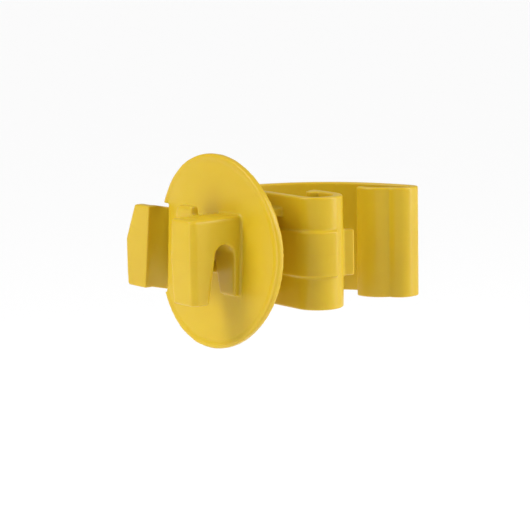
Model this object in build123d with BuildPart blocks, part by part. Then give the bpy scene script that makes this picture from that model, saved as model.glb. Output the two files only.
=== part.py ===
from build123d import *
import os

os.makedirs("parts", exist_ok=True)

# Clip-on fence insulator for a steel T-post.  Millimetres, +Z up along the post, -Y towards the
# fence wire.  The origin is on the saddle's bearing face, at mid-height, in line with the post's stem.

# ---- Driving dimensions ----
clip_half = 17.7          # half the height of the clip, above and below the mid-plane
wall = 3.0                # wall of the saddle and the near jaw

shield_radius = 30.7
shield_x = -5.0           # middle of the shield, on the middle of its wall
shield_y = -19.2
shield_wall = 1.8
shield_lean = 2.6         # the shield's top leans back towards the post
shield_turn = 1.8         # and its near side is turned back a little
shoulder_half = 13.0      # the shield is nearly flat this far each side of its middle
shoulder_rise = 0.25
side_rise = 2.85          # and bends back this far at its near and far sides
rim_width = 1.6
rim_rise = 0.25           # the rim bead stands out on both faces of the wall
notch_x = -29.9           # flat notch in the shield for the thumb lever
notch_top = 12.6
notch_bottom = 15.9

block_far_x = -1.6        # wire hook, open downwards
block_near_x = 10.0
block_front_y = -38.0
block_top = 12.6
block_bottom = 14.0
block_chamfer = 1.6
block_crown = 1.3         # rounding along the top of the near side
draft_angle = 1.6
slot_y = -25.7            # centre of the wire slot
slot_radius = 3.5
slot_arch_z = 0.7         # height of the arch's centre
slot_flare = 2.5          # the slot's front side leans out towards the bottom
base_wall_bottom = 12.3
base_wall_taper = (0.4, 3.7)    # its far side stands in this far at the arch and at the bottom

keeper_width = 8.4        # wire keeper, open upwards, beside the block
keeper_front_y = -29.8
keeper_back_y = -26.9
keeper_seat_z = -2.6
keeper_bottom = 6.0
keeper_top = 15.4
keeper_round = 1.0
keeper_corner = 2.6       # larger rounding at the tip's far top corner

saddle_far_x = -18.5
saddle_near_x = 10.0
neck_far_x = -8.0
neck_near_x = 5.0
neck_half = 11.0
gusset_z = 12.2
gusset_thickness = 2.4
gusset_near_x = {"upper": 10.0, "lower": 6.5}
gusset_far_x = -10.0

bend_x = 17.1             # centre of the near jaw's bend
bend_y = 5.0
bend_inner = 5.0
bend_outer = bend_inner + wall
lip_end_x = 6.0
lip_y = bend_y + bend_inner
barb_reach = 2.4
band_half = 7.2
band_rise = 1.3
band_start_x = 7.0
tab_angle = 62.0          # direction of the pry tab from the bend's centre
tab_reach = 11.4
tab_thickness = 3.0
tab_half = 7.3
tab_drop = 0.7            # the tab's middle is below the clip's

hinge_x = -23.0           # upright pivot of the latch
hinge_y = -3.0
ear_radius = 4.0
ear_gap_half = 9.0        # the latch's barrel sits between the two ears
trunnion_radius = 2.0
pivot_clearance = 0.06
barrel_radius = 3.6
barrel_clearance = 0.15

pad_front_y = -24.0
pad_thickness = 3.2
ridge_top_x = -33.6       # near edge of the pad, which leans outwards towards the bottom
ridge_bottom_x = -36.8
pad_top_width = 8.2
pad_mid_width = 12.1
pad_bottom_width = 10.2
pad_top = 11.9
pad_bottom = 15.2
wing_thickness = 2.8
wing_back_y = -13.0
wing_top_drop = 1.6       # the wing's upper and lower edges fall towards the shield
wing_bottom_drop = 1.8

strap_wall = 2.6
strap_start = (-22.6, 0.0)
strap_middle = (-17.6, 20.5)
strap_end = (1.5, 39.5)
ear_sweep_gap = 0.5       # room between the strap and the hinge ears
band_start = 0.18         # stretch of the strap that carries its band
band_end = 0.88

hook_wall = 2.5
hook_bottom = 18.5
hook_top = 17.1
corner_start = (16.2, 44.9)
corner_middle = (18.1, 44.1)
corner_end = (18.7, 42.2)
crease = (15.0, 36.5)     # full-height flex line between the hook's two lobes
tip_end = (6.8, 31.0)
lobe_bulge = 1.7
flex_gap = 0.12

# ---- Front shield: a round plate bent about an upright line, with a beaded rim and a notch ----
shield_frame = Plane(origin=(shield_x, shield_y, 0)).rotated((-shield_lean, 0, shield_turn))
shield_face = Plane(origin=shield_frame.origin, x_dir=shield_frame.x_dir, z_dir=-shield_frame.y_dir)
shield_depth = 4 * side_rise    # deep enough to take in the whole bend
fill_depth = 6 * shield_wall


def bent_plate(front, back):
    """An upright plate bent like the shield, between two offsets from the middle of its wall."""
    with BuildPart() as plate:
        with BuildSketch(shield_frame):
            with BuildLine():
                for depth in (front, back):
                    middle = ThreePointArc(
                        (-shoulder_half, shoulder_rise + depth),
                        (0, depth),
                        (shoulder_half, shoulder_rise + depth),
                    )
                    near = TangentArc(
                        (shoulder_half, shoulder_rise + depth),
                        (shield_radius + rim_width, side_rise + depth),
                        tangent=middle % 1,
                    )
                    mirror(near, about=Plane.YZ)
                for side in (-1, 1):
                    edge_x = side * (shield_radius + rim_width)
                    Line((edge_x, side_rise + front), (edge_x, side_rise + back))
            make_face()
        extrude(amount=2 * shield_radius, both=True)
    return plate.part


half_wall = shield_wall / 2
in_front_of_shield = bent_plate(-fill_depth, half_wall)
behind_shield = bent_plate(-half_wall, fill_depth)

with BuildPart() as notch_space:
    with BuildSketch(Plane.XZ.offset(-shield_y)):
        with Locations((notch_x - shield_radius / 2, (notch_top - notch_bottom) / 2)):
            Rectangle(shield_radius, notch_top + notch_bottom)
    extrude(amount=shield_depth, both=True)

with BuildPart() as shield_disc:
    add(bent_plate(-half_wall, half_wall))
    with BuildSketch(shield_face):
        Circle(shield_radius - rim_width)
    extrude(amount=shield_depth, both=True, mode=Mode.INTERSECT)
    add(notch_space.part, mode=Mode.SUBTRACT)
shield_disc.part.label = "shield_disc"
export_step(shield_disc.part, "parts/shield_disc.step")

with BuildPart() as shield_rim:
    add(bent_plate(-half_wall - rim_rise, half_wall + rim_rise))
    with BuildSketch(shield_face):
        Circle(shield_radius)
        Circle(shield_radius - rim_width, mode=Mode.SUBTRACT)
    extrude(amount=shield_depth, both=True, mode=Mode.INTERSECT)
    add(notch_space.part, mode=Mode.SUBTRACT)
shield_rim.part.label = "shield_rim"
export_step(shield_rim.part, "parts/shield_rim.step")

# ---- Wire hook: a block on the shield with a slot through it along X, open downwards ----
root_y = shield_y + side_rise    # parts on the shield's front are cut back to its face
block_back_y = root_y
block_middle_x = (block_far_x + block_near_x) / 2

with BuildPart() as block_blank:
    for height, plane in ((block_top, Plane.XY), (block_bottom, -Plane.XY)):
        with BuildSketch(plane):
            with BuildLine():
                sign = plane.y_dir.Y
                Polyline(
                    (block_far_x, sign * block_back_y),
                    (block_far_x, sign * block_front_y),
                    (block_near_x - block_chamfer, sign * block_front_y),
                    (block_near_x, sign * (block_front_y + block_chamfer)),
                    (block_near_x, sign * block_back_y),
                    close=True,
                )
            make_face()
        extrude(amount=height, taper=draft_angle)
    near_edges = block_blank.edges().filter_by(GeomType.LINE).group_by(Axis.Z)[-1].sort_by(Axis.X)
    fillet(near_edges[-2:], block_crown)
    add(behind_shield, mode=Mode.SUBTRACT)

slot_front_y = slot_y - slot_radius
slot_back_y = slot_y + slot_radius
flared_y = slot_front_y - slot_flare


def block_piece(*outline):
    """The part of the block inside an outline drawn from its near side, in Y and Z."""
    with BuildPart() as piece:
        add(block_blank.part)
        with BuildSketch(Plane.YZ.offset(block_middle_x)):
            with BuildLine():
                Polyline(*outline, close=True)
            make_face()
        extrude(amount=block_near_x - block_far_x, both=True, mode=Mode.INTERSECT)
    return piece


with BuildPart() as hook_bridge:
    add(
        block_piece(
            (block_front_y, slot_arch_z),
            (block_back_y, slot_arch_z),
            (block_back_y, block_top),
            (block_front_y, block_top),
        ).part
    )
    with BuildSketch(Plane.YZ.offset(block_middle_x)):
        with Locations((slot_y, slot_arch_z)):
            Circle(slot_radius)
    extrude(amount=block_near_x - block_far_x, both=True, mode=Mode.SUBTRACT)
hook_bridge.part.label = "hook_bridge"
export_step(hook_bridge.part, "parts/hook_bridge.step")

hook_finger = block_piece(
    (block_front_y, slot_arch_z),
    (slot_front_y, slot_arch_z),
    (flared_y, -block_bottom),
    (block_front_y, -block_bottom),
)
hook_finger.part.label = "hook_finger"
export_step(hook_finger.part, "parts/hook_finger.step")

with BuildPart() as hook_root:
    add(
        block_piece(
            (slot_back_y, slot_arch_z),
            (block_back_y, slot_arch_z),
            (block_back_y, -base_wall_bottom),
            (slot_back_y, -base_wall_bottom),
        ).part
    )
    with BuildSketch(Plane.XZ.offset(-block_back_y)):
        with BuildLine():
            Polyline(
                (block_far_x, slot_arch_z),
                (block_far_x + base_wall_taper[0], slot_arch_z),
                (block_far_x + base_wall_taper[1], -base_wall_bottom),
                (block_far_x, -base_wall_bottom),
                close=True,
            )
        make_face()
    extrude(amount=block_back_y - slot_back_y, mode=Mode.SUBTRACT)
hook_root.part.label = "hook_root"
export_step(hook_root.part, "parts/hook_root.step")

# ---- Wire keeper: an L-shaped finger beside the block, open upwards ----
keeper_x = block_far_x - keeper_width / 2

with BuildPart() as keeper_root:
    with BuildSketch(Plane.YZ.offset(keeper_x)):
        with Locations(((keeper_front_y + root_y) / 2, (keeper_seat_z - keeper_bottom) / 2)):
            Rectangle(root_y - keeper_front_y, keeper_bottom + keeper_seat_z)
    extrude(amount=keeper_width / 2, both=True)
    add(behind_shield, mode=Mode.SUBTRACT)
keeper_root.part.label = "keeper_root"
export_step(keeper_root.part, "parts/keeper_root.step")

with BuildPart() as keeper_tip:
    with BuildSketch(Plane.YZ.offset(keeper_x)) as tip_profile:
        with Locations(((keeper_front_y + keeper_back_y) / 2, (keeper_seat_z + keeper_top) / 2)):
            Rectangle(keeper_back_y - keeper_front_y, keeper_top - keeper_seat_z)
        fillet(tip_profile.vertices().group_by(Axis.Z)[-1], keeper_round)
    extrude(amount=keeper_width / 2, both=True)
    with BuildSketch(Plane.XZ.offset(-keeper_back_y)) as tip_front:
        with Locations((keeper_x, (keeper_seat_z + keeper_top) / 2)):
            Rectangle(keeper_width, keeper_top - keeper_seat_z)
        fillet(tip_front.vertices().group_by(Axis.Z)[-1].sort_by(Axis.X)[0], keeper_corner)
    extrude(amount=keeper_back_y - keeper_front_y, mode=Mode.INTERSECT)
keeper_tip.part.label = "keeper_tip"
export_step(keeper_tip.part, "parts/keeper_tip.step")

# ---- Saddle behind the shield: bearing plate, stand-off neck and two gussets ----
with BuildPart() as saddle_plate:
    with BuildSketch(Plane.XY):
        with Locations(((saddle_far_x + saddle_near_x) / 2, -wall / 2)):
            Rectangle(saddle_near_x - saddle_far_x, wall)
    extrude(amount=clip_half, both=True)
saddle_plate.part.label = "saddle_plate"
export_step(saddle_plate.part, "parts/saddle_plate.step")

neck_front_y = shield_y - side_rise    # parts on the shield's back are cut back to it

with BuildPart() as neck:
    with BuildSketch(Plane.XY):
        with Locations(((neck_far_x + neck_near_x) / 2, (neck_front_y - wall) / 2)):
            Rectangle(neck_near_x - neck_far_x, -wall - neck_front_y)
    extrude(amount=neck_half, both=True)
    add(in_front_of_shield, mode=Mode.SUBTRACT)
neck.part.label = "neck"
export_step(neck.part, "parts/neck.step")

for side, level in ((1, "upper"), (-1, "lower")):
    near_x = gusset_near_x[level]
    with BuildPart() as gusset:
        with BuildSketch(Plane.XY.offset(side * gusset_z)):
            with Locations(((gusset_far_x + near_x) / 2, (neck_front_y - wall) / 2)):
                Rectangle(near_x - gusset_far_x, -wall - neck_front_y)
        extrude(amount=gusset_thickness / 2, both=True)
        add(in_front_of_shield, mode=Mode.SUBTRACT)
    gusset.part.label = f"neck_gusset_{level}"
    export_step(gusset.part, f"parts/neck_gusset_{level}.step")

# ---- Near jaw: a rigid C that hooks over one edge of the flange ----
with BuildPart() as near_jaw:
    with BuildSketch(Plane.XY):
        with Locations(((saddle_near_x + bend_x) / 2, -wall / 2)):
            Rectangle(bend_x - saddle_near_x, wall)
        with Locations((bend_x, bend_y)):
            Circle(bend_outer)
            Circle(bend_inner, mode=Mode.SUBTRACT)
        with Locations((bend_x - bend_outer / 2, bend_y)):
            Rectangle(bend_outer, 2 * bend_inner, mode=Mode.SUBTRACT)
        with Locations((bend_x - bend_outer / 2, lip_y + wall / 2)):
            Rectangle(bend_outer, wall, mode=Mode.SUBTRACT)
    extrude(amount=clip_half, both=True)
near_jaw.part.label = "near_jaw"
export_step(near_jaw.part, "parts/near_jaw.step")

with BuildPart() as jaw_lip:
    with BuildSketch(Plane.XY) as lip_profile:
        with Locations(((lip_end_x + bend_x) / 2, lip_y + wall / 2)):
            Rectangle(bend_x - lip_end_x, wall)
        fillet(lip_profile.vertices().group_by(Axis.X)[0], wall / 3)
    extrude(amount=clip_half, both=True)
jaw_lip.part.label = "jaw_lip"
export_step(jaw_lip.part, "parts/jaw_lip.step")

with BuildPart() as jaw_barb:
    with BuildSketch(Plane.XY):
        with BuildLine():
            barb_x = lip_end_x + wall
            Line((barb_x + barb_reach, lip_y), (barb_x - barb_reach, lip_y))
            ThreePointArc((barb_x - barb_reach, lip_y), (barb_x, lip_y - barb_reach), (barb_x + barb_reach, lip_y))
        make_face()
    extrude(amount=clip_half, both=True)
jaw_barb.part.label = "jaw_barb"
export_step(jaw_barb.part, "parts/jaw_barb.step")

tab_plane = Plane(origin=(bend_x, bend_y, -tab_drop)).rotated((0, 0, tab_angle))

with BuildPart() as pry_tab:
    with BuildSketch(tab_plane):
        with Locations(((bend_outer + tab_reach) / 2 - band_rise / 2, 0)):
            Rectangle(tab_reach - bend_outer + band_rise, tab_thickness)
    extrude(amount=tab_half, both=True)
    add(near_jaw.part, mode=Mode.SUBTRACT)
pry_tab.part.label = "pry_tab"
export_step(pry_tab.part, "parts/pry_tab.step")

with BuildPart() as jaw_band:
    with BuildSketch(Plane.XY):
        with Locations(((band_start_x + bend_x) / 2, -wall - band_rise / 2)):
            Rectangle(bend_x - band_start_x, band_rise)
        with Locations((bend_x, bend_y)):
            Circle(bend_outer + band_rise)
            Circle(bend_outer, mode=Mode.SUBTRACT)
        with Locations((bend_x - bend_outer, bend_y)):
            Rectangle(2 * bend_outer, 2 * bend_outer, mode=Mode.SUBTRACT)
        with Locations((bend_x, bend_y + bend_outer + band_rise)):
            Rectangle(4 * bend_outer, 2 * bend_outer, mode=Mode.SUBTRACT)
    extrude(amount=band_half, both=True)
jaw_band.part.label = "jaw_band"
export_step(jaw_band.part, "parts/jaw_band.step")

# ---- Hinge ears on the saddle's far end, with bores for the latch's trunnions ----
ear_height = clip_half - ear_gap_half

for side, label in ((1, "hinge_ear_upper"), (-1, "hinge_ear_lower")):
    with BuildPart() as ear:
        with BuildSketch(Plane.XY.offset(side * (ear_gap_half + ear_height / 2))):
            with Locations((hinge_x, hinge_y)):
                Circle(ear_radius)
            with Locations(((hinge_x + saddle_far_x) / 2, -wall / 2)):
                Rectangle(saddle_far_x - hinge_x, wall)
            with Locations((hinge_x, hinge_y)):
                Circle(trunnion_radius + pivot_clearance, mode=Mode.SUBTRACT)
        extrude(amount=ear_height / 2, both=True)
    ear.part.label = label
    export_step(ear.part, f"parts/{label}.step")

# ---- Latch: barrel with two trunnions, thumb lever in front, strap and stem hook behind ----
barrel_half = ear_gap_half - barrel_clearance

with BuildPart() as latch_barrel:
    with BuildSketch(Plane.XY):
        with Locations((hinge_x, hinge_y)):
            Circle(barrel_radius)
    extrude(amount=barrel_half, both=True)
    with BuildSketch(Plane.XY):
        with Locations((hinge_x, hinge_y)):
            Circle(trunnion_radius)
    extrude(amount=clip_half, both=True)
latch_barrel.part.label = "latch_barrel"
export_step(latch_barrel.part, "parts/latch_barrel.step")

# The pad is drawn from the front: its near edge leans, its far edge has a kink at mid-height.
pad_back_y = pad_front_y + pad_thickness
ridge_middle_x = (ridge_top_x + ridge_bottom_x) / 2

with BuildPart() as thumb_pad:
    with BuildSketch(Plane.XZ.offset(-pad_back_y)) as pad_profile:
        with BuildLine():
            Polyline(
                (ridge_top_x, pad_top),
                (ridge_bottom_x, -pad_bottom),
                (ridge_bottom_x - pad_bottom_width, -pad_bottom),
                (ridge_middle_x - pad_mid_width, 0),
                (ridge_top_x - pad_top_width, pad_top),
                close=True,
            )
        make_face()
        fillet(pad_profile.vertices().sort_by(Axis.X)[:3], pad_thickness / 3)
    extrude(amount=pad_thickness)
thumb_pad.part.label = "thumb_pad"
export_step(thumb_pad.part, "parts/thumb_pad.step")

# The wing runs back from the pad's near edge, through the shield's notch.
with BuildPart() as lever_wing:
    with BuildSketch(Plane.XZ.offset(-wing_back_y)):
        with BuildLine():
            lean = (ridge_top_x - ridge_bottom_x) / (pad_top + pad_bottom)
            low_z = -pad_bottom - wing_bottom_drop
            low_x = ridge_bottom_x - lean * wing_bottom_drop
            Polyline(
                (ridge_top_x, pad_top),
                (low_x, low_z),
                (low_x - wing_thickness, low_z),
                (ridge_top_x - wing_thickness, pad_top),
                close=True,
            )
        make_face()
    extrude(amount=wing_back_y - pad_back_y)
    with BuildSketch(Plane.YZ.offset(ridge_middle_x)):
        with BuildLine():
            Polyline(
                (pad_back_y, pad_top),
                (wing_back_y, pad_top - wing_top_drop),
                (wing_back_y, low_z),
                (pad_back_y, -pad_bottom),
                close=True,
            )
        make_face()
    extrude(amount=pad_top_width, both=True, mode=Mode.INTERSECT)
lever_wing.part.label = "lever_wing"
export_step(lever_wing.part, "parts/lever_wing.step")

# The root joins the wing to the barrel; it fits between the two ears.
root_overhang = 0.56      # it stands proud of the wing's near face
root_near_side = (1.8, -2.88)    # where its two sides run into the barrel, from the hinge
root_far_side = (-3.24, 0.6)

with BuildPart() as lever_root:
    with BuildSketch(Plane.XY):
        with BuildLine():
            Polyline(
                (ridge_middle_x - wing_thickness, wing_back_y),
                (ridge_middle_x + root_overhang, wing_back_y),
                (hinge_x + root_near_side[0], hinge_y + root_near_side[1]),
                (hinge_x + root_far_side[0], hinge_y + root_far_side[1]),
                close=True,
            )
        make_face()
    extrude(amount=barrel_half, both=True)
    add(latch_barrel.part, mode=Mode.SUBTRACT)
lever_root.part.label = "lever_root"
export_step(lever_root.part, "parts/lever_root.step")

# The strap bows out round the far side of the post, from the barrel to the stem's rear edge.
hook_height = hook_top + hook_bottom

sweep_radius = ear_radius + ear_sweep_gap

with BuildPart() as latch_strap:
    with BuildSketch(Plane.XY.offset(-hook_bottom)):
        with BuildLine():
            strap_arc = ThreePointArc(strap_start, strap_middle, strap_end)
        trace(line_width=strap_wall)
        with Locations((hinge_x, hinge_y)):
            Circle(sweep_radius, mode=Mode.SUBTRACT)
    extrude(amount=hook_height)
latch_strap.part.label = "latch_strap"
export_step(latch_strap.part, "parts/latch_strap.step")

with BuildPart() as strap_root:
    with BuildSketch(Plane.XY):
        with Locations((strap_arc @ 0, strap_arc @ 0 - (0, sweep_radius))):
            Rectangle(1.5 * strap_wall, 2 * sweep_radius)
        with Locations((hinge_x, hinge_y)):
            Circle(sweep_radius, mode=Mode.INTERSECT)
            Circle(barrel_radius, mode=Mode.SUBTRACT)
        with Locations((hinge_x, hinge_y - sweep_radius)):
            Rectangle(4 * sweep_radius, 2 * sweep_radius, mode=Mode.SUBTRACT)
    extrude(amount=barrel_half, both=True)
strap_root.part.label = "strap_root"
export_step(strap_root.part, "parts/strap_root.step")


def beside_strap(position, distance):
    """A point at a distance outside the strap's centre line."""
    spot = strap_arc @ position
    return spot + (spot - strap_arc.arc_center).normalized() * distance


band_offset = (strap_wall + band_rise) / 2
band_positions = (band_start, (band_start + band_end) / 2, band_end)

with BuildPart() as strap_band:
    with BuildSketch(Plane.XY):
        with BuildLine():
            ThreePointArc(*[beside_strap(position, band_offset) for position in band_positions])
        trace(line_width=band_rise)
    extrude(amount=band_half, both=True)
strap_band.part.label = "strap_band"
export_step(strap_band.part, "parts/strap_band.step")

# ---- Stem hook: an open loop that curls round the stem's rear edge ----
hook_plane = Plane.XY.offset(-hook_bottom)

with BuildPart() as hook_back:
    with BuildSketch(hook_plane):
        with BuildLine():
            TangentArc(strap_end, corner_start, tangent=strap_arc % 1)
            ThreePointArc(corner_start, corner_middle, corner_end)
        trace(line_width=hook_wall)
    extrude(amount=hook_height)
    add(latch_strap.part, mode=Mode.SUBTRACT)
hook_back.part.label = "hook_back"
export_step(hook_back.part, "parts/hook_back.step")


def bulged_arc(start, end):
    """An arc between two plan points, bulging away from the stem by lobe_bulge."""
    run = Vector(*end) - Vector(*start)
    outward = run.rotate(Axis.Z, 90).normalized()
    return ThreePointArc(start, Vector(*start) + run / 2 + outward * lobe_bulge, end)


side_arc = bulged_arc(corner_end, crease)
tip_arc = bulged_arc(crease, tip_end)
crease_direction = (side_arc % 1 + tip_arc % 0).normalized()
crease_plane = Plane(origin=(*crease, -hook_bottom), x_dir=crease_direction, z_dir=(0, 0, 1))

# Both lobes run past the crease and are cut back to one plane that halves its angle.
lap = hook_wall / 2

with BuildPart() as hook_side:
    with BuildSketch(hook_plane):
        with BuildLine():
            add(side_arc)
            Line(side_arc @ 1, side_arc @ 1 + side_arc % 1 * lap)
        trace(line_width=hook_wall)
    extrude(amount=hook_height)
    with BuildSketch(crease_plane):
        with Locations((hook_wall - flex_gap / 2, 0)):
            Rectangle(2 * hook_wall, 3 * hook_wall)
    extrude(amount=hook_height, mode=Mode.SUBTRACT)
    add(hook_back.part, mode=Mode.SUBTRACT)
hook_side.part.label = "hook_side"
export_step(hook_side.part, "parts/hook_side.step")

with BuildPart() as hook_tip:
    with BuildSketch(hook_plane):
        with BuildLine():
            add(tip_arc)
            Line(tip_arc @ 0, tip_arc @ 0 - tip_arc % 0 * lap)
        trace(line_width=hook_wall)
        with Locations(tip_end):
            Circle(hook_wall / 2)
    extrude(amount=hook_height)
    with BuildSketch(crease_plane):
        with Locations((flex_gap / 2 - hook_wall, 0)):
            Rectangle(2 * hook_wall, 3 * hook_wall)
    extrude(amount=hook_height, mode=Mode.SUBTRACT)
hook_tip.part.label = "hook_tip"
export_step(hook_tip.part, "parts/hook_tip.step")

# The tip flexes about the crease's outer edge.
flex_axis = Vector(*crease) + crease_direction.rotate(Axis.Z, 90) * hook_wall / 2
print("hook flex axis at", flex_axis)
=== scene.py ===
import bpy
import bmesh
import math
from mathutils import Matrix, Vector


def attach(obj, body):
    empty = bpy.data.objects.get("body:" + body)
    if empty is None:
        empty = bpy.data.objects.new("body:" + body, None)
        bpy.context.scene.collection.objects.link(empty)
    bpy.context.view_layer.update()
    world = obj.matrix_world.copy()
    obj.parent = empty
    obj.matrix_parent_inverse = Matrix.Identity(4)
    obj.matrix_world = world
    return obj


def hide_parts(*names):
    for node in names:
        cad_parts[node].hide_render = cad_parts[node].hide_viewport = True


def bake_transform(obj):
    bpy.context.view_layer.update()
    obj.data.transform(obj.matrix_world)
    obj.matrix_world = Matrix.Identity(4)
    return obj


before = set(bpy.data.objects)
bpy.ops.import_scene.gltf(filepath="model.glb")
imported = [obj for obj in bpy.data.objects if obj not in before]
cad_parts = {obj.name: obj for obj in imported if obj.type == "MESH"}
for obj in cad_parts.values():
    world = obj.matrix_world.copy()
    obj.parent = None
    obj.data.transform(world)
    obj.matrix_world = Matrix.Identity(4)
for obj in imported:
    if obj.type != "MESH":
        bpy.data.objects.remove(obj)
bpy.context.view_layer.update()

# ---- Clip moulding ----
# The fixed half of the clip is one injection moulding in yellow polyethylene: the bent round shield,
# the wire hook and keeper on its front, and the saddle, near jaw and hinge ears behind it.  The tool
# parts at mid-height, so the hook drafts both ways and a faint line runs round everything there.
CLIP_NODES = [
    "shield_disc", "shield_rim", "hook_bridge", "hook_finger", "hook_root", "keeper_root", "keeper_tip",
    "saddle_plate", "neck", "neck_gusset_upper", "neck_gusset_lower", "near_jaw", "jaw_lip", "jaw_barb",
    "jaw_band", "pry_tab", "hinge_ear_upper", "hinge_ear_lower",
]

# Lengths are in metres.  A rounding is a number of smoothing passes over a skin.
VOXEL = 0.00026
WELD = 1e-7
SMOOTHING = 0.5
CLIP_ROUNDING = 32
CLIP_FACES = 90000


def joined_solids(name, node_names, filler):
    """One object that holds the solids of several CAD nodes, and a filler block where one is given."""
    joined = bmesh.new()
    for node_name in node_names:
        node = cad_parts[node_name]
        solid = node.data.copy()
        solid.transform(node.matrix_world)
        joined.from_mesh(solid)
        bpy.data.meshes.remove(solid)
    if filler is not None:
        bmesh.ops.create_cube(joined, size=1.0, matrix=filler)
    bmesh.ops.remove_doubles(joined, verts=joined.verts, dist=WELD)
    mesh = bpy.data.meshes.new(name)
    joined.to_mesh(mesh)
    joined.free()
    piece = bpy.data.objects.new(name, mesh)
    bpy.context.scene.collection.objects.link(piece)
    return piece


def modified_mesh(piece):
    """A new mesh of a piece as its modifiers leave it."""
    bpy.context.view_layer.update()
    modified = piece.evaluated_get(bpy.context.evaluated_depsgraph_get())
    return bpy.data.meshes.new_from_object(modified)


def moulded_skin(name, node_names, rounding, face_count, filler=None):
    """One closed skin over several CAD nodes, with the rounded edges and filleted roots of a moulding."""
    rough = joined_solids(name + "_rough", node_names, filler)
    remesh = rough.modifiers.new("remesh", "REMESH")
    remesh.mode = "VOXEL"
    remesh.voxel_size = VOXEL
    smooth = rough.modifiers.new("smooth", "SMOOTH")
    smooth.factor = SMOOTHING
    smooth.iterations = rounding
    dense = modified_mesh(rough)
    triangle_count = sum(len(polygon.vertices) - 2 for polygon in dense.polygons)
    thin = rough.modifiers.new("thin", "DECIMATE")
    thin.ratio = min(1.0, face_count / triangle_count)
    skin_mesh = modified_mesh(rough)
    bpy.data.objects.remove(rough)
    bpy.data.meshes.remove(dense)
    skin_mesh.materials.clear()
    skin_mesh.polygons.foreach_set("use_smooth", [True] * len(skin_mesh.polygons))
    skin = bpy.data.objects.new(name, skin_mesh)
    bpy.context.scene.collection.objects.link(skin)
    return skin


clip = moulded_skin("clip_moulding", CLIP_NODES, CLIP_ROUNDING, CLIP_FACES)


# Effects shared by both mouldings are node groups with one named input, the place on the part, and
# named outputs.
def effect_group(name, output_names):
    """A shader node group; returns its tree, the place it is fed with and the sockets of its results."""
    tree = bpy.data.node_groups.new(name, "ShaderNodeTree")
    tree.interface.new_socket("Vector", in_out="INPUT", socket_type="NodeSocketVector")
    for output_name in output_names:
        tree.interface.new_socket(output_name, in_out="OUTPUT", socket_type="NodeSocketFloat")
    place = tree.nodes.new("NodeGroupInput").outputs["Vector"]
    return tree, place, tree.nodes.new("NodeGroupOutput").inputs


def math_node(tree, operation, first, second=0.0, third=0.0, clamp=False):
    """A Math node; each term is a socket or a plain number.  Returns its output."""
    node = tree.nodes.new("ShaderNodeMath")
    node.operation = operation
    node.use_clamp = clamp
    for index, term in enumerate((first, second, third)):
        if isinstance(term, bpy.types.NodeSocket):
            tree.links.new(term, node.inputs[index])
        else:
            node.inputs[index].default_value = term
    return node.outputs[0]


def scaled(tree, vector, factors):
    """The vector stretched by a factor along each axis."""
    node = tree.nodes.new("ShaderNodeVectorMath")
    node.operation = "MULTIPLY"
    tree.links.new(vector, node.inputs[0])
    node.inputs[1].default_value = factors
    return node.outputs[0]


def noise(tree, vector, scale, detail=2.0, roughness=0.5, distortion=0.0):
    """A noise texture's 0 to 1 value at a scale, in waves per metre."""
    node = tree.nodes.new("ShaderNodeTexNoise")
    tree.links.new(vector, node.inputs["Vector"])
    node.inputs["Scale"].default_value = scale
    node.inputs["Detail"].default_value = detail
    node.inputs["Roughness"].default_value = roughness
    node.inputs["Distortion"].default_value = distortion
    return node.outputs[0]


def step(tree, value, low, high, to_low=0.0, to_high=1.0):
    """A smooth step of a value between two limits."""
    node = tree.nodes.new("ShaderNodeMapRange")
    node.interpolation_type = "SMOOTHSTEP"
    tree.links.new(value, node.inputs["Value"])
    node.inputs["From Min"].default_value = low
    node.inputs["From Max"].default_value = high
    node.inputs["To Min"].default_value = to_low
    node.inputs["To Max"].default_value = to_high
    return node.outputs[0]


# The tool's cavity is spark-eroded, which leaves a very fine grain over a soft orange peel.
PEEL_HEIGHT = 0.78
FINE_HEIGHT = 0.03
grain, place, result = effect_group("moulded_grain", ["Height", "Gloss"])
peel = noise(grain, place, scale=620.0, detail=3.0, roughness=0.55)
fine = noise(grain, place, scale=3400.0, detail=1.0)
peel_height = math_node(grain, "MULTIPLY", peel, PEEL_HEIGHT)
grain.links.new(math_node(grain, "MULTIPLY_ADD", fine, FINE_HEIGHT, peel_height), result["Height"])
grain.links.new(step(grain, peel, low=0.3, high=0.7), result["Gloss"])

# The melt carries its pigment in slow streaks that run round the part from the gate.
STREAK_STRETCH = (1.0, 1.0, 1.7)
flow, place, result = effect_group("melt_flow", ["Streaks", "Clouds"])
streak = noise(flow, scaled(flow, place, STREAK_STRETCH), scale=70.0, detail=2.5, distortion=0.9)
cloud = noise(flow, place, scale=42.0)
flow.links.new(step(flow, streak, low=0.32, high=0.68), result["Streaks"])
flow.links.new(step(flow, cloud, low=0.3, high=0.7), result["Clouds"])

# Handling leaves hair scratches, level ones and upright ones, and a few dull rubbed patches.
LEVEL_STRETCH = (1.0, 1.0, 16.0)
UPRIGHT_STRETCH = (14.0, 9.0, 1.0)
scuff, place, result = effect_group("handling_scuffs", ["Scratches", "Rubs"])
level_place = scaled(scuff, place, LEVEL_STRETCH)
level = noise(scuff, level_place, scale=240.0, detail=3.0, roughness=0.6, distortion=0.6)
upright_place = scaled(scuff, place, UPRIGHT_STRETCH)
upright = noise(scuff, upright_place, scale=210.0, detail=3.0, roughness=0.6, distortion=0.6)
level_hairs = step(scuff, level, low=0.65, high=0.70)
upright_hairs = step(scuff, upright, low=0.66, high=0.71)
hairs = math_node(scuff, "MAXIMUM", level_hairs, upright_hairs)
handled = noise(scuff, place, scale=75.0, detail=3.0, roughness=0.6)
scratched = step(scuff, handled, low=0.46, high=0.62)
scuff.links.new(math_node(scuff, "MULTIPLY", hairs, scratched), result["Scratches"])
scuff.links.new(step(scuff, handled, low=0.55, high=0.72), result["Rubs"])

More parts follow.
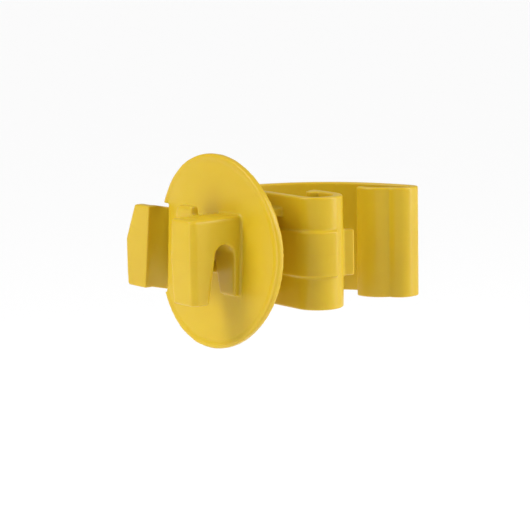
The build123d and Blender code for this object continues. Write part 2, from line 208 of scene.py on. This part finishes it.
# The tool's parting line is a low, slightly broken thread at mid-height.  It fades out on the shield,
# whose middle lies about 19 mm in front of the saddle.
THREAD_CORE = 0.00006
THREAD_HALF = 0.00022
SHIELD_MIDDLE = 0.0187
SHIELD_EDGE = 0.0030
SHIELD_CLEAR = 0.0045
parting, place, result = effect_group("parting_line", ["Line"])
split = parting.nodes.new("ShaderNodeSeparateXYZ")
parting.links.new(place, split.inputs[0])
from_middle = math_node(parting, "ABSOLUTE", split.outputs["Z"])
thread = step(parting, from_middle, low=THREAD_CORE, high=THREAD_HALF, to_low=1.0, to_high=0.0)
broken = step(parting, noise(parting, place, scale=260.0), low=0.25, high=0.5, to_low=0.35)
shield_offset = math_node(parting, "ADD", split.outputs["Y"], SHIELD_MIDDLE)
from_shield = math_node(parting, "ABSOLUTE", shield_offset)
off_shield = step(parting, from_shield, low=SHIELD_EDGE, high=SHIELD_CLEAR)
thread = math_node(parting, "MULTIPLY", thread, off_shield)
parting.links.new(math_node(parting, "MULTIPLY", thread, broken), result["Line"])

# Outer edges are painted a little paler, partly as wear and partly as a painted highlight, and are made
# duller; inner corners are painted darker as painted shade.
edges, place, result = effect_group("edge_sheen_and_corner_shade", ["Edges", "CornerShade"])
pointiness = edges.nodes.new("ShaderNodeNewGeometry").outputs["Pointiness"]
patchy = noise(edges, place, scale=330.0, detail=3.0, roughness=0.6)
outer = step(edges, pointiness, low=0.535, high=0.63)
inner = step(edges, pointiness, low=0.485, high=0.40)
edge_patches = step(edges, patchy, low=0.3, high=0.6, to_low=0.45)
shade_patches = step(edges, patchy, low=0.35, high=0.65)
edges.links.new(math_node(edges, "MULTIPLY", outer, edge_patches), result["Edges"])
edges.links.new(math_node(edges, "MULTIPLY", inner, shade_patches), result["CornerShade"])


def colour_mix(tree, amount, first, second):
    """A mix of two colours, each a socket or a plain RGBA."""
    node = tree.nodes.new("ShaderNodeMix")
    node.data_type = "RGBA"
    tree.links.new(amount, node.inputs["Factor"])
    for socket, value in ((node.inputs[6], first), (node.inputs[7], second)):
        if isinstance(value, bpy.types.NodeSocket):
            tree.links.new(value, socket)
        else:
            socket.default_value = value
    return node.outputs[2]


BRIGHT_YELLOW = (0.635, 0.450, 0.018, 1.0)
# Pale tint for scratches and outer edges; on the edges it is partly wear and partly a painted highlight.
WORN_AND_SHEEN_YELLOW = (0.70, 0.54, 0.09, 1.0)
# Dark tint for inner corners, where it is painted shade, and for the parting line.
SHADE_AND_SEAM_YELLOW = (0.36, 0.215, 0.025, 1.0)
LEAST_ROUGH = 0.30
MOST_ROUGH = 0.36
RUB_DULLING = 0.10
SCRATCH_DULLING = 0.14
EDGE_DULLING = 0.08
SCRATCH_DEPTH = 0.16
LINE_HEIGHT = 0.9
BUMP_STRENGTH = 0.14
BUMP_DISTANCE = 0.00007


def yellow_plastic(name, body_colour, deep_colour, line_strength):
    """Yellow polyethylene, slightly translucent and satin, built from the shared effects."""
    material = bpy.data.materials.new(name)
    material.use_nodes = True
    tree = material.node_tree
    shader = tree.nodes["Principled BSDF"]
    place_on_part = tree.nodes.new("ShaderNodeTexCoord").outputs["Object"]
    effects = {}
    for group in (grain, flow, scuff, parting, edges):
        node = tree.nodes.new("ShaderNodeGroup")
        node.node_tree = group
        tree.links.new(place_on_part, node.inputs["Vector"])
        for socket in node.outputs:
            effects[socket.name] = socket

    # Each effect lays its tint over the colours before it, as strongly as its share says.
    tints = [
        ("Streaks", 0.32, deep_colour),
        ("Clouds", 0.3, BRIGHT_YELLOW),
        # Outer edges get a pale tint, partly wear and partly a painted highlight; inner corners get
        # painted shade.
        ("Edges", 0.18, WORN_AND_SHEEN_YELLOW),
        ("CornerShade", 0.22, SHADE_AND_SEAM_YELLOW),
        ("Scratches", 0.14, WORN_AND_SHEEN_YELLOW),
        ("Line", 0.3 * line_strength, SHADE_AND_SEAM_YELLOW),
    ]
    colour = body_colour
    for effect, share, tint in tints:
        amount = math_node(tree, "MULTIPLY", effects[effect], share)
        colour = colour_mix(tree, amount, colour, tint)
    tree.links.new(colour, shader.inputs["Base Color"])

    dull = step(tree, effects["Gloss"], low=0.0, high=1.0, to_low=LEAST_ROUGH, to_high=MOST_ROUGH)
    dull = math_node(tree, "MULTIPLY_ADD", effects["Rubs"], RUB_DULLING, dull)
    dull = math_node(tree, "MULTIPLY_ADD", effects["Scratches"], SCRATCH_DULLING, dull)
    dull = math_node(tree, "MULTIPLY_ADD", effects["Edges"], EDGE_DULLING, dull, clamp=True)
    tree.links.new(dull, shader.inputs["Roughness"])

    height = math_node(tree, "MULTIPLY_ADD", effects["Scratches"], -SCRATCH_DEPTH, effects["Height"])
    height = math_node(tree, "MULTIPLY_ADD", effects["Line"], LINE_HEIGHT * line_strength, height)
    bump = tree.nodes.new("ShaderNodeBump")
    bump.inputs["Strength"].default_value = BUMP_STRENGTH
    bump.inputs["Distance"].default_value = BUMP_DISTANCE
    tree.links.new(height, bump.inputs["Height"])
    tree.links.new(bump.outputs["Normal"], shader.inputs["Normal"])

    shader.inputs["IOR"].default_value = 1.5
    shader.inputs["Specular IOR Level"].default_value = 0.36
    shader.inputs["Subsurface Weight"].default_value = 0.25
    shader.inputs["Subsurface Radius"].default_value = (1.0, 0.48, 0.06)
    shader.inputs["Subsurface Scale"].default_value = 0.0024
    return material


CLIP_YELLOW = (0.595, 0.402, 0.013, 1.0)
CLIP_DEEP = (0.555, 0.352, 0.009, 1.0)
CLIP_LINE = 0.22

clip.data.materials.append(yellow_plastic("clip_yellow", CLIP_YELLOW, CLIP_DEEP, CLIP_LINE))
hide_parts(*CLIP_NODES)
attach(clip, "clip")

# ---- Latch moulding ----
# The second moulding, in the same plastic from another shot: a barrel with two trunnions in the hinge
# ears, the thumb lever in front of it, and the long strap that bows round the post to the stem hook.
LATCH_NODES = [
    "latch_barrel", "lever_root", "lever_wing", "thumb_pad", "strap_root", "latch_strap", "strap_band",
    "hook_back",
]
LOBE_NODES = ["hook_side", "hook_tip"]
LATCH_ROUNDING = 16
LATCH_FACES = 70000
LATCH_YELLOW = (0.585, 0.392, 0.013, 1.0)
LATCH_DEEP = (0.54, 0.338, 0.009, 1.0)
LATCH_LINE = 0.14

# The CAD leaves a slit along the crease between the hook's two lobes.  A thin filler closes it, so
# that the skin runs through the crease as the real one does.
HOOK_HALF = 0.0178
CREASE = Vector((0.0150, 0.0365, -0.0007))
CREASE_OUT = Vector((0.655, -0.756, 0.0))
CREASE_ALONG = Vector((-0.756, -0.655, 0.0))
FILLER_THICKNESS = 0.0004
FILLER_DEPTH = 0.0024

up = Vector((0.0, 0.0, 1.0))
filler_turn = Matrix((CREASE_ALONG, CREASE_OUT, up)).transposed().to_4x4()
filler_size = Matrix.Diagonal((FILLER_THICKNESS, FILLER_DEPTH, 2 * HOOK_HALF, 1.0))
crease_filler = Matrix.Translation(CREASE) @ filler_turn @ filler_size
latch = moulded_skin(
    "latch_moulding", LATCH_NODES + LOBE_NODES, LATCH_ROUNDING, LATCH_FACES, crease_filler
)
latch.data.materials.append(yellow_plastic("latch_yellow", LATCH_YELLOW, LATCH_DEEP, LATCH_LINE))

# The two lobes are cut off the same skin behind the corner, on the near jaw's side of the stem, into a
# piece of their own.
SEAM = Vector((0.0174, 0.0400, 0.0))
STEM_SIDE_X = 0.003
LOBE_REACH_Y = 0.0388
LOBE_REACH_X = 0.0145


def in_lobes(centre):
    """Whether a point of the latch's skin lies in the hook's inner lobes."""
    past_seam = (centre - SEAM).dot(CREASE_ALONG) > 0.0
    past_stem = centre.x > STEM_SIDE_X
    return past_stem and past_seam and (centre.y < LOBE_REACH_Y or centre.x > LOBE_REACH_X)


def keep_part(piece, wanted):
    """Keeps only the faces that lie in the lobes, or only those that don't if they aren't wanted."""
    cut = bmesh.new()
    cut.from_mesh(piece.data)
    spare = [face for face in cut.faces if in_lobes(face.calc_center_median()) != wanted]
    bmesh.ops.delete(cut, geom=spare, context="FACES")
    cut.to_mesh(piece.data)
    cut.free()


lobes = latch.copy()
lobes.data = latch.data.copy()
lobes.name = "stem_hook_lobes"
bpy.context.scene.collection.objects.link(lobes)
keep_part(lobes, True)
keep_part(latch, False)
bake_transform(lobes)
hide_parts("hook_side", "hook_tip")
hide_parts(*LATCH_NODES)
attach(latch, "latch")

# ---- Camera ----
# A long lens looks at the clip from the near side of the shield, a little above its middle,
# and leans by one degree, so that a plumb post would lean with it.
AIM = Vector((0.0, -0.0015, 0.0))
AZIMUTH = math.radians(53.0)
ELEVATION = math.radians(9.0)
LEAN = math.radians(1.0)
DISTANCE = 0.70
SIDE_STEP = -0.00095
UP_STEP = -0.0057

level_back = Vector((math.sin(AZIMUTH), -math.cos(AZIMUTH), 0.0))
back = level_back * math.cos(ELEVATION) + up * math.sin(ELEVATION)
level_right = Vector((math.cos(AZIMUTH), math.sin(AZIMUTH), 0.0))
level_up = back.cross(level_right)
lens_right = level_right * math.cos(LEAN) - level_up * math.sin(LEAN)
lens_up = level_right * math.sin(LEAN) + level_up * math.cos(LEAN)

camera_data = bpy.data.cameras.new("camera")
camera_data.lens = 150.0
camera_data.sensor_width = 36.0
camera_data.clip_start = 0.01
camera_data.clip_end = 30.0
camera = bpy.data.objects.new("camera", camera_data)
bpy.context.scene.collection.objects.link(camera)
lens_place = AIM + back * DISTANCE + lens_right * SIDE_STEP + lens_up * UP_STEP
lens_turn = Matrix((lens_right, lens_up, back)).transposed().to_4x4()
camera.matrix_world = Matrix.Translation(lens_place) @ lens_turn
bpy.context.scene.camera = camera

# ---- Floor and light ----
# A plain pale floor lies well below the clip.  Two broad soft lights come from the left and the right,
# so the faces that look towards the lens are the dark ones, and two softboxes give the highlights.
FLOOR_DROP = 0.16
FLOOR_HALF = 14.0
SOFTBOX_DISTANCE = 0.6
SOFTBOX_HEIGHT = 0.6

corner_signs = [(-1, -1), (1, -1), (1, 1), (-1, 1)]
floor_corners = [(x * FLOOR_HALF, y * FLOOR_HALF, -FLOOR_DROP) for x, y in corner_signs]
floor_mesh = bpy.data.meshes.new("floor")
floor_mesh.from_pydata(floor_corners, [], [(0, 1, 2, 3)])
floor = bpy.data.objects.new("floor", floor_mesh)
bpy.context.scene.collection.objects.link(floor)
floor_material = bpy.data.materials.new("floor")
floor_material.use_nodes = True
floor_shader = floor_material.node_tree.nodes["Principled BSDF"]
floor_shader.inputs["Base Color"].default_value = (0.97, 0.97, 0.97, 1.0)
floor_shader.inputs["Roughness"].default_value = 0.9
floor_shader.inputs["Specular IOR Level"].default_value = 0.0
floor.data.materials.append(floor_material)


def lamp(name, kind, direction, energy, distance=1.0):
    """A lamp that shines on the middle of the clip from a direction."""
    data = bpy.data.lights.new(name, kind)
    data.energy = energy
    holder = bpy.data.objects.new(name, data)
    bpy.context.scene.collection.objects.link(holder)
    holder.location = direction.normalized() * distance
    holder.rotation_euler = (-direction).to_track_quat("-Z", "Y").to_euler()
    return data


def broad_light(name, direction, energy, spread):
    """A distant light that is spread over an angle, in degrees."""
    data = lamp(name, "SUN", direction, energy)
    data.angle = math.radians(spread)


def softbox(name, direction, energy, width):
    """A tall rectangular light close to the clip."""
    data = lamp(name, "AREA", direction, energy, SOFTBOX_DISTANCE)
    data.shape = "RECTANGLE"
    data.size = width
    data.size_y = SOFTBOX_HEIGHT


# Each direction is a sum of steps up, to the lens's left or right, and towards the lens.
broad_light("left_light", up * 1.1 - level_right + level_back * 0.35, energy=1.68, spread=26.0)
broad_light("right_light", up * 0.9 + level_right + level_back * 0.45, energy=1.3, spread=40.0)
softbox("left_softbox", up * 0.25 - level_right + level_back * 0.55, energy=1.1, width=0.25)
softbox("right_softbox", up * 0.3 + level_right + level_back * 0.1, energy=1.6, width=0.13)

world = bpy.data.worlds.new("world")
bpy.context.scene.world = world
world.use_nodes = True
world_light = world.node_tree.nodes["Background"]
world_light.inputs["Color"].default_value = (1.0, 1.0, 1.0, 1.0)
world_light.inputs["Strength"].default_value = 0.345
bpy.context.scene.view_settings.view_transform = "Standard"
